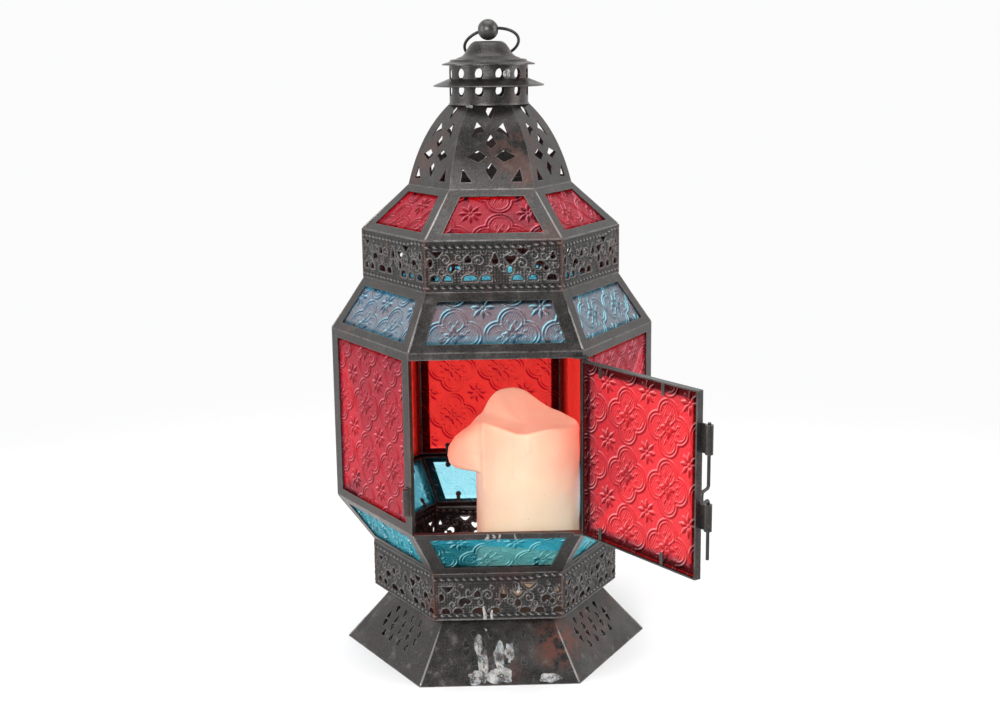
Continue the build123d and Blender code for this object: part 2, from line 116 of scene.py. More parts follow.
# --- shader helpers -----------------------------------------------------------------------------
class Tree:
    """Adds and joins the nodes of one tree."""

    def __init__(self, tree):
        self.tree = tree
        self.count = 0

    def add(self, kind, values=None, **settings):
        node = self.tree.nodes.new(kind)
        node.location = (self.count * 180, 0)
        self.count += 1
        for key, value in settings.items():
            setattr(node, key, value)
        for key, value in (values or {}).items():
            if isinstance(value, bpy.types.NodeSocket):
                self.tree.links.new(value, node.inputs[key])
            elif isinstance(value, (tuple, list, bpy.types.bpy_prop_array)) and len(value) == 3:
                wide = len(node.inputs[key].default_value) == 4
                node.inputs[key].default_value = (*value, 1) if wide else tuple(value)
            else:
                node.inputs[key].default_value = value
        return node

    def math(self, operation, a, b=0.0, clamp=False):
        node = self.add("ShaderNodeMath", {0: a, 1: b}, operation=operation, use_clamp=clamp)
        return node.outputs[0]

    def between(self, value, low, high, low_out=0.0, high_out=1.0):
        ranges = {"Value": value, 1: low, 2: high, 3: low_out, 4: high_out}
        return self.add("ShaderNodeMapRange", ranges, clamp=True).outputs[0]

    def mix(self, factor, a, b):
        return self.add("ShaderNodeMix", {0: factor, 6: a, 7: b}, data_type="RGBA").outputs[2]

    def noise(self, place, scale, detail=4.0, rough=0.55):
        values = {"Vector": place, "Scale": scale, "Detail": detail, "Roughness": rough}
        return self.add("ShaderNodeTexNoise", values).outputs["Fac"]

    def attribute(self, name):
        return self.add("ShaderNodeAttribute", attribute_name=name).outputs["Fac"]


def node_group(name, inputs, outputs):
    """An empty shader group with those sockets: {name: default} in, names and kinds out."""
    group = bpy.data.node_groups.new(name, "ShaderNodeTree")
    for label, default in inputs.items():
        kind = "NodeSocketColor" if isinstance(default, tuple) else "NodeSocketFloat"
        socket = group.interface.new_socket(name=label, in_out="INPUT", socket_type=kind)
        socket.default_value = (*default, 1) if isinstance(default, tuple) else default
    for label, kind in outputs.items():
        group.interface.new_socket(name=label, in_out="OUTPUT", socket_type=kind)
    tree = Tree(group)
    return group, tree, tree.add("NodeGroupInput").outputs, tree.add("NodeGroupOutput").inputs


def worn_tin():
    """Darkened tin: patchy, rubbed bright on its edges and rusted in places, with painted shade in the
    hollows of embossing, and raised tops rubbed bare and lighter as a painted highlight.
    """
    name = "Worn tin"
    if name in bpy.data.node_groups:
        return bpy.data.node_groups[name]
    ins = {"Tin": (0.2, 0.2, 0.2), "Bare": (0.6, 0.6, 0.6), "Copper": (0.4, 0.2, 0.1)}
    ins.update({"Rust": 0.3, "Wear": 0.5, "Patches": 0.5, "Spot": 0.0})
    outs = {"Color": "NodeSocketColor", "Roughness": "NodeSocketFloat"}
    outs.update({"Metallic": "NodeSocketFloat", "Height": "NodeSocketFloat"})
    group, t, given, out = node_group(name, ins, outs)
    place = t.add("ShaderNodeTexCoord").outputs["Object"]
    broad = t.noise(place, 38, 5)
    blots = t.noise(place, 130, 6, 0.65)
    grain = t.noise(place, 1500, 3)
    streak_place = t.add("ShaderNodeMapping", {"Vector": place, "Scale": (900, 900, 60)}).outputs[0]
    streaks = t.noise(streak_place, 1.0, 3)
    rounded = t.add("ShaderNodeBevel", {"Radius": 0.0009}, samples=4).outputs[0]
    flat = t.add("ShaderNodeNewGeometry").outputs["Normal"]
    meeting = t.add("ShaderNodeVectorMath", {0: rounded, 1: flat}, operation="DOT_PRODUCT")
    edge = t.between(meeting.outputs["Value"], 0.995, 0.90)
    edge = t.math("MULTIPLY", edge, t.between(blots, 0.36, 0.56))
    patch = t.math("MULTIPLY", t.between(broad, 0.50, 0.66), given["Patches"])
    scuff = t.math("MULTIPLY", t.between(blots, 0.58, 0.70), 0.35)
    bare = t.math("ADD", t.math("MULTIPLY", edge, given["Wear"]), patch)
    bare = t.math("ADD", bare, t.math("MULTIPLY", scuff, given["Wear"]), clamp=True)
    rust_place = t.between(t.noise(place, 24, 4, 0.6), 0.55, 0.64)
    rust = t.math("MULTIPLY", rust_place, given["Rust"])
    rust = t.math("ADD", rust, t.attribute("rust"), clamp=True)
    rust = t.math("MULTIPLY", rust, t.between(blots, 0.32, 0.60), clamp=True)
    spotted = t.math("MULTIPLY", given["Spot"], t.between(blots, 0.42, 0.52))
    rust = t.math("ADD", rust, spotted, clamp=True)
    # the raised tops of embossing are rubbed bare and also lighter as a painted highlight
    bare = t.math("ADD", bare, t.between(t.attribute("relief"), 0.70, 1.0, 0.0, 0.45), clamp=True)
    tone = t.mix(t.between(grain, 0.42, 0.72, 0.0, 0.30), given["Tin"], given["Bare"])
    tone = t.mix(t.between(streaks, 0.50, 0.8, 0.0, 0.15), tone, given["Bare"])
    tone = t.mix(bare, tone, given["Bare"])
    tone = t.mix(rust, tone, given["Copper"])
    # painted shade: the hollows of the band's embossing are darkened to near black
    tone = t.mix(t.attribute("hollow"), tone, (0.003, 0.003, 0.003))
    links = t.tree.links
    links.new(tone, out["Color"])
    rough = t.math("ADD", t.between(blots, 0.3, 0.7, 0.24, 0.42), t.math("MULTIPLY", rust, 0.2))
    links.new(rough, out["Roughness"])
    links.new(t.between(bare, 0, 1, 0.55, 0.90), out["Metallic"])
    height = t.math("ADD", t.math("MULTIPLY", blots, 0.7), t.math("MULTIPLY", grain, 0.3))
    links.new(height, out["Height"])
    return group


def material(name):
    """A fresh material, its tree and its output's surface socket."""
    made = bpy.data.materials.new(name)
    made.use_nodes = True
    made.node_tree.nodes.clear()
    tree = Tree(made.node_tree)
    return made, tree, tree.add("ShaderNodeOutputMaterial").inputs["Surface"]


def tin_material(name, tin=None, bare=None, rust=0.3, wear=0.8, patches=0.5, bump=0.25, spot=None):
    """Worn tin with its own amount of rust, wear and bright patches. A spot is where it has rusted
    most: (middle, radius, amount)."""
    if name in bpy.data.materials:
        return bpy.data.materials[name]
    made, t, surface = material(name)
    c = colours()
    worn = t.add("ShaderNodeGroup", node_tree=worn_tin())
    given = {"Tin": tin or c.tin, "Bare": bare or c.bare, "Copper": c.copper}
    for label, value in given.items():
        worn.inputs[label].default_value = (*value, 1)
    worn.inputs["Rust"].default_value = rust
    worn.inputs["Wear"].default_value = wear
    worn.inputs["Patches"].default_value = patches
    if spot:
        place = t.add("ShaderNodeTexCoord").outputs["Object"]
        apart = t.add("ShaderNodeVectorMath", {0: place, 1: spot[0]}, operation="DISTANCE")
        nearness = t.between(apart.outputs["Value"], spot[1], spot[1] * 0.4, 0.0, spot[2])
        t.tree.links.new(nearness, worn.inputs["Spot"])
    rough = {"Height": worn.outputs["Height"], "Strength": bump, "Distance": 0.0004}
    normal = t.add("ShaderNodeBump", rough).outputs[0]
    values = {"Base Color": worn.outputs["Color"], "Roughness": worn.outputs["Roughness"]}
    values.update({"Metallic": worn.outputs["Metallic"], "Normal": normal, "IOR": 1.5})
    t.tree.links.new(t.add("ShaderNodeBsdfPrincipled", values).outputs[0], surface)
    return made


def pressed_glass():
    """Colours of patterned glass: its tint is deeper along the ridges and, as painted shade, on the ridge
    sides sloping one way; the other sides get a painted glint, and its hollows are hazy.
    """
    name = "Pressed glass"
    if name in bpy.data.node_groups:
        return bpy.data.node_groups[name]
    ins = {"Relief": 0.0, "Slope": 0.0, "Clear": (0.9, 0.1, 0.1), "Ridge": (0.5, 0.0, 0.0)}
    ins["Haze"] = 0.1
    outs = {"Tint": "NodeSocketColor", "Haze": "NodeSocketFloat", "Height": "NodeSocketFloat"}
    outs.update({"Glint": "NodeSocketFloat", "Shade": "NodeSocketFloat"})
    group, t, given, out = node_group(name, ins, outs)
    place = t.add("ShaderNodeTexCoord").outputs["Object"]
    swirl = t.noise(place, 60, 3)
    seeds = t.noise(place, 900, 2)
    depth = t.math("MULTIPLY", t.between(given["Relief"], 0.25, 0.9), 0.45)
    # painted shade: ridge sides that slope one way are tinted deeper
    shade = t.between(given["Slope"], -0.04, -0.55)
    t.tree.links.new(shade, out["Shade"])
    depth = t.math("ADD", depth, shade)
    depth = t.math("ADD", depth, t.between(swirl, 0.45, 0.75, 0.0, 0.12), clamp=True)
    tint = t.mix(depth, given["Clear"], given["Ridge"])
    t.tree.links.new(tint, out["Tint"])
    haze = t.math("MULTIPLY", given["Haze"], t.between(seeds, 0.35, 0.7, 0.8, 1.2))
    haze = t.math("MULTIPLY", haze, t.between(given["Relief"], 0.3, 1.0, 1.0, 0.45))
    haze = t.math("MULTIPLY", haze, t.attribute("inner"))
    # painted glint: ridge sides that slope the other way get more of the glossy haze
    glint = t.between(given["Slope"], 0.12, 0.65)
    t.tree.links.new(glint, out["Glint"])
    haze = t.math("ADD", haze, t.math("MULTIPLY", glint, 0.30), clamp=True)
    t.tree.links.new(haze, out["Haze"])
    height = t.math("ADD", t.math("MULTIPLY", seeds, 0.3), t.math("MULTIPLY", swirl, 0.7))
    t.tree.links.new(height, out["Height"])
    return group


def glass_material(name, clear, ridge, haze_colour, glint, haze, glow):
    """See-through tinted glass with a hazy, glossy surface and painted shade and painted glints on the
    sides of its ridges. Glow is how much of the haze is lit from behind."""
    if name in bpy.data.materials:
        return bpy.data.materials[name]
    made, t, surface = material(name)
    group = t.add("ShaderNodeGroup", node_tree=pressed_glass())
    t.tree.links.new(t.attribute("relief"), group.inputs["Relief"])
    t.tree.links.new(t.attribute("slope"), group.inputs["Slope"])
    group.inputs["Clear"].default_value = (*clear, 1)
    group.inputs["Ridge"].default_value = (*ridge, 1)
    group.inputs["Haze"].default_value = haze
    # light crosses two surfaces of every sheet, so each takes the square root of the tint
    half = t.add("ShaderNodeGamma", {"Color": group.outputs["Tint"], "Gamma": 0.5}).outputs[0]
    through = t.add("ShaderNodeBsdfTransparent", {"Color": half}).outputs[0]
    waves = {"Height": group.outputs["Height"], "Strength": 0.35, "Distance": 0.0006}
    normal = t.add("ShaderNodeBump", waves).outputs[0]
    # painted shade and painted glints on the ridge sides colour the glossy haze
    shown = t.mix(t.math("MULTIPLY", group.outputs["Shade"], 0.75), haze_colour, tuple(ridge))
    shown = t.mix(group.outputs["Glint"], shown, glint)
    face = {"Base Color": shown, "Roughness": 0.16, "Normal": normal}
    gloss = t.add("ShaderNodeBsdfPrincipled", face).outputs[0]
    lit = t.add("ShaderNodeBsdfTranslucent", {"Color": group.outputs["Tint"]}).outputs[0]
    gloss = t.add("ShaderNodeMixShader", {0: glow, 1: gloss, 2: lit}).outputs[0]
    rim = t.add("ShaderNodeFresnel", {"IOR": 1.45, "Normal": normal}).outputs[0]
    share = t.math("ADD", rim, group.outputs["Haze"], clamp=True)
    mixed = t.add("ShaderNodeMixShader", {0: share, 1: through, 2: gloss}).outputs[0]
    t.tree.links.new(mixed, surface)
    return made


def wax_material(name="Wax", film=False):
    """Wax with a painted glow of light through it: warmer and brighter on the melted top, the slumped lip,
    the hollow and where the side is seen edge-on. A thin film lets some metal through.
    """
    if name in bpy.data.materials:
        return bpy.data.materials[name]
    made, t, surface = material(name)
    c = colours()
    place = t.add("ShaderNodeTexCoord").outputs["Object"]
    cloud = t.noise(place, 70, 4)
    specks = t.between(t.noise(place, 700, 1), 0.79, 0.83)
    # painted glow: warmer where the attribute marks light through the wax, with some random tone from the
    # cloud
    blush = t.math("ADD", t.attribute("blush"), t.between(cloud, 0.3, 0.8, -0.12, 0.12), clamp=True)
    # painted glow: sides seen edge-on are warmer, as light coming through thin wax
    facing = t.add("ShaderNodeLayerWeight", {"Blend": 0.35}).outputs["Facing"]
    blush = t.math("ADD", blush, t.between(facing, 0.15, 0.95, 0.0, 0.75), clamp=True)
    cold = (0.72, 0.70, 0.68) if film else tuple(c.wax)
    tone = t.mix(blush, cold, tuple(c.wax_blush))
    tone = t.mix(specks, tone, (0.12, 0.06, 0.04))
    bump = {"Height": cloud, "Strength": 0.2, "Distance": 0.0006}
    normal = t.add("ShaderNodeBump", bump).outputs[0]
    values = {"Base Color": tone, "Roughness": 0.34, "Subsurface Weight": 0.45, "Normal": normal}
    values.update({"Subsurface Radius": (0.6, 0.3, 0.18), "Subsurface Scale": 0.012})
    if not film:
        # painted glow: the wax gives off light of its own, more where it is warmer
        glow = t.between(t.attribute("blush"), 0.2, 1.0, 0.22, 0.36)
        values.update({"Emission Color": tone, "Emission Strength": glow})
    body = t.add("ShaderNodeBsdfPrincipled", values).outputs[0]
    if film:
        clear = t.add("ShaderNodeBsdfTransparent").outputs[0]
        gaps = t.between(t.noise(place, 170, 4, 0.7), 0.38, 0.62, 0.05, 0.64)
        body = t.add("ShaderNodeMixShader", {0: gaps, 1: clear, 2: body}).outputs[0]
    t.tree.links.new(body, surface)
    return made


# --- mesh helpers -------------------------------------------------------------------------------
def mesh_object(name, points, faces, finish, attributes=None, smooth=True):
    """A mesh object made of an array of points and a list of faces."""
    mesh = bpy.data.meshes.new(name)
    counts = np.array([len(f) for f in faces], np.int32)
    corners = np.concatenate([np.asarray(f, np.int32) for f in faces])
    mesh.vertices.add(len(points))
    mesh.vertices.foreach_set("co", np.asarray(points, np.float32).ravel())
    mesh.loops.add(len(corners))
    mesh.loops.foreach_set("vertex_index", corners)
    mesh.polygons.add(len(counts))
    starts = np.concatenate(([0], np.cumsum(counts)[:-1])).astype(np.int32)
    mesh.polygons.foreach_set("loop_start", starts)
    mesh.polygons.foreach_set("use_smooth", np.full(len(counts), smooth))
    mesh.update(calc_edges=True)
    mesh.validate()
    for label, values in (attributes or {}).items():
        layer = mesh.attributes.new(label, "FLOAT", "POINT")
        layer.data.foreach_set("value", np.asarray(values, np.float32))
    mesh.materials.append(finish)
    made = bpy.data.objects.new(name, mesh)
    bpy.context.collection.objects.link(made)
    return made


def grid_faces(rows, columns, closed=False):
    """Quads between the points of a grid stored row by row."""
    across = columns if closed else columns - 1
    r, c = np.meshgrid(np.arange(rows - 1), np.arange(across), indexing="ij")
    a = r * columns + c
    b = r * columns + (c + 1) % columns
    return np.stack([a, b, b + columns, a + columns], -1).reshape(-1, 4)


def smoothstep(value, low, high):
    """0 below low, 1 above high and a smooth rise between them."""
    t = np.clip((value - low) / (high - low), 0, 1)
    return t * t * (3 - 2 * t)


def ridge(distance, width):
    """A rounded ridge, 1 along its crest."""
    return np.exp(-((distance / width) ** 2))


def petals(x, y, count, turn, near, far, width):
    """Drop-shaped petals round the origin."""
    r = np.hypot(x, y)
    sector = 2 * pi / count
    angle = (np.arctan2(y, x) - turn + sector / 2) % sector - sector / 2
    t = np.clip((r - near) / (far - near), 0, 1)
    half = width * np.sin(pi * t**0.8) + 0.01
    inside = smoothstep(half - np.abs(r * np.sin(angle)), -0.15, 0.45)
    return inside * (r > near) * (r < far)


# --- pressed glass ------------------------------------------------------------------------------
def pane_pattern(x, y, pitch):
    """Relief of the glass, from 0 on the ground to 1 on the ridges."""
    cx = x - np.round(x / pitch) * pitch
    cy = y - np.round(y / pitch) * pitch
    reach = 0.244 * pitch
    radius = 0.25 * pitch
    beside = np.hypot(np.abs(cx) - reach, cy)
    above = np.hypot(cx, np.abs(cy) - reach)
    lobes = np.minimum(beside, above) - radius
    height = np.maximum(ridge(lobes + 0.6, 0.55), 0.85 * ridge(lobes + 2.5, 0.45))
    height = np.maximum(height, 0.95 * petals(cx, cy, 4, 0, 1.2, 6.6, 1.5))
    height = np.maximum(height, 0.9 * petals(cx, cy, 4, pi / 4, 1.0, 5.6, 0.9))
    height = np.maximum(height, 0.8 * petals(cx, cy, 12, pi / 12, 6.6, 10.0, 0.6))
    dots = np.clip(np.sin(2 * pi * (x + 0.3 * y) / 1.9) * np.sin(2 * pi * (y - 0.3 * x) / 1.9), 0, 1)
    height = np.maximum(height, 0.7 * dots * smoothstep(-lobes, 3.0, 3.6))
    fx = cx - np.sign(cx) * pitch / 2
    fy = cy - np.sign(cy) * pitch / 2
    height = np.maximum(height, petals(fx, fy, 8, 0, 1.5, 7.4, 1.15))
    height = np.maximum(height, ridge(np.hypot(fx, fy), 0.8))
    veins = 0.25 * ridge(np.abs(np.sin(8 * np.arctan2(fy, fx) / 2)) * 3, 0.6)
    return np.maximum(height, veins * (np.hypot(fx, fy) < 10) * (lobes > 0.6))


def flat_side(node, facing):
    """The biggest flat side of a CAD node that looks along facing: its middle, axes and outline."""
    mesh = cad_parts[node].data
    mesh.calc_loop_triangles()
    co = np.array([v.co for v in mesh.vertices], float)
    best = {}
    for tri in mesh.loop_triangles:
        key = tuple(round(v, 2) for v in tri.normal)
        best.setdefault(key, [0.0, []])
        best[key][0] += tri.area
        best[key][1] += list(tri.vertices)
    sides = [(area, key, ids) for key, (area, ids) in best.items() if Vector(key).dot(facing) > 0.2]
    _, key, ids = max(sides)
    normal = np.array(Vector(key).normalized())
    corners = np.unique(co[ids].round(6), axis=0)
    across = np.cross((0, 0, 1), normal)
    across /= np.linalg.norm(across)
    up = np.cross(normal, across)
    height = corners @ up
    low = corners[height < height.mean()]
    high = corners[height > height.mean()]
    middle = low.mean(0)
    spread = [np.ptp(edge @ across) for edge in (low, high)]
    thick = np.ptp(co @ normal)
    return middle, across, up, normal, spread, float(height.max() - height.min()), thick


# where a medallion sits on the sheets that were cut with one in view, from the middle of the pane
PATTERN_AT = {"door_pane": (-10.0, -7.0), "upper_pane_6": (10.0, -7.5), "wall_pane_3": (-8.0, 8.0)}


def pressed_pane(node, facing, finish):
    """A sheet of glass in place of a CAD pane, with its pattern pressed into one side."""
    s = sizes()
    middle, across, up, normal, (low, high), tall, thick = flat_side(node, Vector(facing))
    columns = int(max(low, high) / s.glass_cell)
    rows = int(tall / s.glass_cell)
    v, u = np.meshgrid(np.linspace(0, 1, rows), np.linspace(-0.5, 0.5, columns), indexing="ij")
    x = u * (low + (high - low) * v)
    y = v * tall
    start_x, start_y = PATTERN_AT.get(node) or rng.uniform(-17, 17, 2)
    shape = pane_pattern(x / MM - start_x, (y - tall / 2) / MM - start_y, s.medallion / MM)
    margin = np.minimum(np.minimum(v, 1 - v) * tall, (0.5 - np.abs(u)) * min(low, high)) / MM
    depth = s.glass_depth * (1 - shape) * smoothstep(margin, 0.0, 1.5)
    front = middle + x[..., None] * across + y[..., None] * up - depth[..., None] * normal
    points = front.reshape(-1, 3)
    index = np.arange(rows * columns).reshape(rows, columns)
    ring = np.concatenate((index[0, :-1], index[:-1, -1], index[-1, :0:-1], index[:0:-1, 0]))
    back = points[ring] - thick * normal
    count = len(ring)
    start = len(points)
    after = (np.arange(count) + 1) % count
    walls = np.stack([ring, start + np.arange(count), start + after, ring[after]], -1)
    faces = list(grid_faces(rows, columns)) + list(walls)
    faces.append(np.arange(start, start + count)[::-1])
    steep_y, steep_x = np.gradient(shape, tall / rows / MM, max(low, high) / columns / MM)
    marks = {
        "relief": np.concatenate((shape.ravel(), np.zeros(count))),
        # slope along one fixed direction, which drives the painted shade and painted glints on the ridges
        "slope": np.concatenate(((0.6 * steep_x - 0.8 * steep_y).ravel(), np.zeros(count))),
        "inner": np.concatenate((smoothstep(margin, 3.4, 5.6).ravel(), np.zeros(count))),
    }
    made = mesh_object("glass_" + node, np.concatenate((points, back)), faces, finish, marks)
    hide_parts(node)
    return made


class LANTERN_OT_glass(bpy.types.Operator):
    """Replace every pane with pressed glass of its colour"""

    bl_idname = "lantern.glass"
    bl_label = "Glass panes"

    def execute(self, context):
        c = colours()
        # clear tint, ridge tint, haze, colour of the painted glints, how hazy and how much of the haze is
        # lit from behind
        looks = {
            "Red glass": (c.red, c.red_dark, (0.60, 0.085, 0.12), (1.0, 0.52, 0.54), 0.50, 0.52),
            # painted shade: the red glass again, darker and with fainter glints, for the side walls and
            # roof
            "Wine glass": (c.red, c.red_dark, (0.44, 0.03, 0.065), (0.80, 0.20, 0.28), 0.50, 0.35),
            # painted light: the red glass again, paler and pinker, for the back panes lit from behind
            "Coral glass": ((1.0, 0.16, 0.12), c.red, (0.60, 0.10, 0.12), (1.0, 0.55, 0.50), 0.30, 0.60),
            "Blue glass": (c.blue, c.blue_dark, (0.32, 0.29, 0.32), (0.36, 0.86, 1.0), 0.50, 0.25),
            "Turquoise glass": (c.aqua, c.aqua_dark, (0.02, 0.50, 0.60), (0.35, 0.90, 0.95), 0.22, 0.30),
            # painted light: the turquoise glass again, paler, for the back lower panes lit from behind
            "Pale glass": ((0.42, 0.86, 0.97), c.aqua, (0.03, 0.50, 0.60), (0.5, 0.93, 1.0), 0.20, 0.30),
        }
        made = [glass_material(name, *look) for name, look in looks.items()]
        red, red_in_shade, red_lit_from_behind, blue, aqua, turquoise_lit_from_behind = made
        # the side walls and roof get the red glass with painted shade
        kinds = {"wall": (red_in_shade, "red_glass"), "roof": (red_in_shade, "red_glass")}
        kinds.update({"upper": (blue, "blue_glass"), "lower": (aqua, "blue_glass")})
        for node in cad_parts:
            ring, _, rest = node.partition("_")
            if node == "door_pane":
                pane = pressed_pane(node, (-0.8, -0.6, 0), red)
                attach(pane, "door")
            elif rest.startswith("pane") and ring in kinds:
                lo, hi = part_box(node)
                outward = ((lo + hi) / 2 * Vector((1, 1, 0))).normalized()
                finish, slot = kinds[ring]
                if node == "wall_pane_3":
                    finish = red
                # panes facing the back get the red and turquoise glass painted as lit from behind
                elif outward.y > 0.3:
                    finish = {"wall": red_lit_from_behind, "lower": turquoise_lit_from_behind}.get(ring, finish)
                pane = pressed_pane(node, outward, finish)
                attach(pane, "lantern_body")
        return {"FINISHED"}


# --- pierced bands ------------------------------------------------------------------------------
# outlines of the holes, each in a box one wide and one tall
SHAPES = {
    "down": [(-0.5, 0.5), (0, 0.38), (0.5, 0.5), (0.12, -0.35), (0, -0.5), (-0.12, -0.35)],
    "house": [(-0.5, -0.5), (0.5, -0.4), (0.42, 0.15), (0.05, 0.5), (-0.4, 0.1)],
    "drop": [(0, 0.5), (0.22, 0.15), (0.45, -0.15), (0.4, -0.38), (0, -0.5), (-0.4, -0.38),
             (-0.45, -0.15), (-0.22, 0.15)],
    "heart": [(-0.5, 0.3), (-0.3, 0.5), (0, 0.33), (0.3, 0.5), (0.5, 0.3), (0.3, -0.1), (0, -0.5),
              (-0.3, -0.1)],
    "bean": [(-0.5, -0.1), (-0.4, 0.3), (-0.1, 0.5), (0.25, 0.4), (0.5, 0.1), (0.35, -0.2),
             (0.1, 0.0), (-0.1, -0.2), (-0.2, -0.5), (-0.42, -0.45)],
    "oval": [(0.5 * cos(2 * pi * i / 12), 0.5 * sin(2 * pi * i / 12)) for i in range(12)],
    "bar": [(-0.5, -0.5), (0.5, -0.5), (0.46, 0.0), (0.3, 0.38), (0, 0.5), (-0.3, 0.38), (-0.46, 0.0)],
}

# what is pierced in every face: shape, middle, width and height, from the face's own middle
PIERCED = (
    ("down", -33.7, 7.5, 6.1, 3.0),
    ("house", -15.3, 4.4, 3.4, 3.8),
    ("drop", 0.8, 4.4, 3.8, 5.9),
    ("heart", 9.9, 3.8, 6.6, 4.6),
    ("down", 17.1, 8.7, 7.6, 3.2),
    ("drop", 35.0, 6.0, 2.7, 3.5),
    ("oval", -37.6, 2.4, 2.2, 4.0),
    ("bean", -23.2, -0.8, 6.8, 4.8),
    ("oval", 9.6, -2.1, 3.2, 4.1),
    ("bean", 27.5, 0.6, 5.2, 4.2),
    ("oval", 31.2, -1.2, 2.2, 2.4),
    ("bar", -35.0, -6.7, 4.6, 3.0),
    ("bar", -27.5, -6.7, 4.9, 3.0),
    ("bar", -14.1, -6.7, 8.4, 3.2),
    ("bar", -4.6, -6.7, 5.7, 3.0),
    ("bar", 14.2, -6.7, 6.4, 3.2),
    ("bar", 23.2, -6.7, 5.1, 3.0),
    ("bar", 34.6, -6.7, 5.6, 3.0),
)
# raised curls: middle, reach, turns and phase
CURLS = (
    (-28.5, 4.2, 3.6, 0.4), (-20.5, 5.6, 3.4, 2.2), (-8.8, 3.4, 4.2, 1.0), (-30.5, -2.6, 3.0, 3.0),
    (-13.8, -1.4, 3.2, 0.0), (5.4, -0.4, 3.4, 2.6), (16.6, 1.6, 4.4, 1.6), (23.6, 6.4, 3.4, 0.2),
    (30.0, 6.2, 3.6, 2.0), (20.4, -2.8, 3.2, 4.0), (-2.8, -1.8, 3.0, 5.0), (36.4, 0.6, 3.0, 1.2),
    (-6.0, 9.0, 2.6, 0.7), (-25.0, 9.2, 2.6, 2.9), (8.8, 9.0, 2.6, 4.4), (28.6, 10.0, 2.2, 3.3),
)


def outline_distance(x, y, corners):
    """Distance to a closed outline, negative inside it."""
    nearest = np.full(x.shape, 1e9)
    inside = np.zeros(x.shape, bool)
    for (ax, ay), (bx, by) in zip(corners, corners[1:] + corners[:1]):
        ex, ey = bx - ax, by - ay
        t = np.clip(((x - ax) * ex + (y - ay) * ey) / (ex * ex + ey * ey), 0, 1)
        nearest = np.minimum(nearest, np.hypot(x - ax - t * ex, y - ay - t * ey))
        crosses = (ay > y) != (by > y)
        level = ey if abs(ey) > 1e-9 else 1e-9
        inside ^= crosses & (x < ax + (y - ay) * ex / level)
    return np.where(inside, -nearest, nearest)


def pierced_distance(x, y):
    """Distance to the nearest hole of a band's face, negative in a hole."""
    nearest = np.full(x.shape, 1e9)
    for shape, cx, cy, wide, tall in PIERCED:
        corners = [(cx + px * wide, cy + py * tall) for px, py in SHAPES[shape]]
        nearest = np.minimum(nearest, outline_distance(x, y, corners))
    return nearest


def band_relief(x, y, tall, holes, shift):
    """Relief of a band's face, from 0 in the hollows to 1 on the ridges."""
    lip = ridge(holes - 0.9, 0.5)
    height = 0.22 + 0.7 * lip
    for cx, cy, reach, phase in CURLS:
        right, up = x - cx - shift[0], y - cy - shift[1]
        r = np.hypot(right, up)
        angle = np.arctan2(up, right)
        wave = np.cos(pi * (r / 2.3 - (angle + phase) / (2 * pi))) ** 2
        bead = smoothstep(wave, 0.4, 1.0) * smoothstep(reach - r, 0, 0.8)
        height = np.maximum(height, 0.22 + 0.75 * bead)
    arc = np.abs(holes - 2.1) < 0.75
    studs = np.clip(np.sin(2 * pi * (x + y) / 3.4) * np.sin(2 * pi * (x - y) / 3.4), 0, 1)
    height = np.maximum(height, 0.22 + 0.85 * studs * arc)
    height = np.maximum(height, 0.22 + 0.3 * studs * (holes > 3.0))
    for row, lift in ((tall / 2 - 4.1, 1), (-tall / 2 + 2.9, 0)):
        up = row + lift * 1.6 * smoothstep(x, 18, 30)
        along = (x + 0.5 * (y - up)) % 4.6 - 2.3
        bead = 1 - np.hypot(along / 1.75, (y - up) / 1.05) ** 2
        height = np.where((np.abs(y - up) < 2.0) & (holes > 0.6), 0.12, height)
        height = np.maximum(height, np.sqrt(np.clip(bead, 0, 1)))
    height = np.maximum(height, 0.66 * smoothstep(np.abs(y), tall / 2 - 1.3, tall / 2 - 0.6))
    return np.clip(height, 0, 1)


def open_edges(quads, columns):
    """Edges of a face's grid that belong to one quad only, except where two faces meet."""
    edges = np.concatenate([quads[:, [i, (i + 1) % 4]] for i in range(4)])
    _, first, times = np.unique(np.sort(edges, 1), axis=0, return_index=True, return_counts=True)
    rims = edges[first[times == 1]]
    side = rims % columns
    return rims[~((side == 0) | (side == columns - 1)).all(1)]


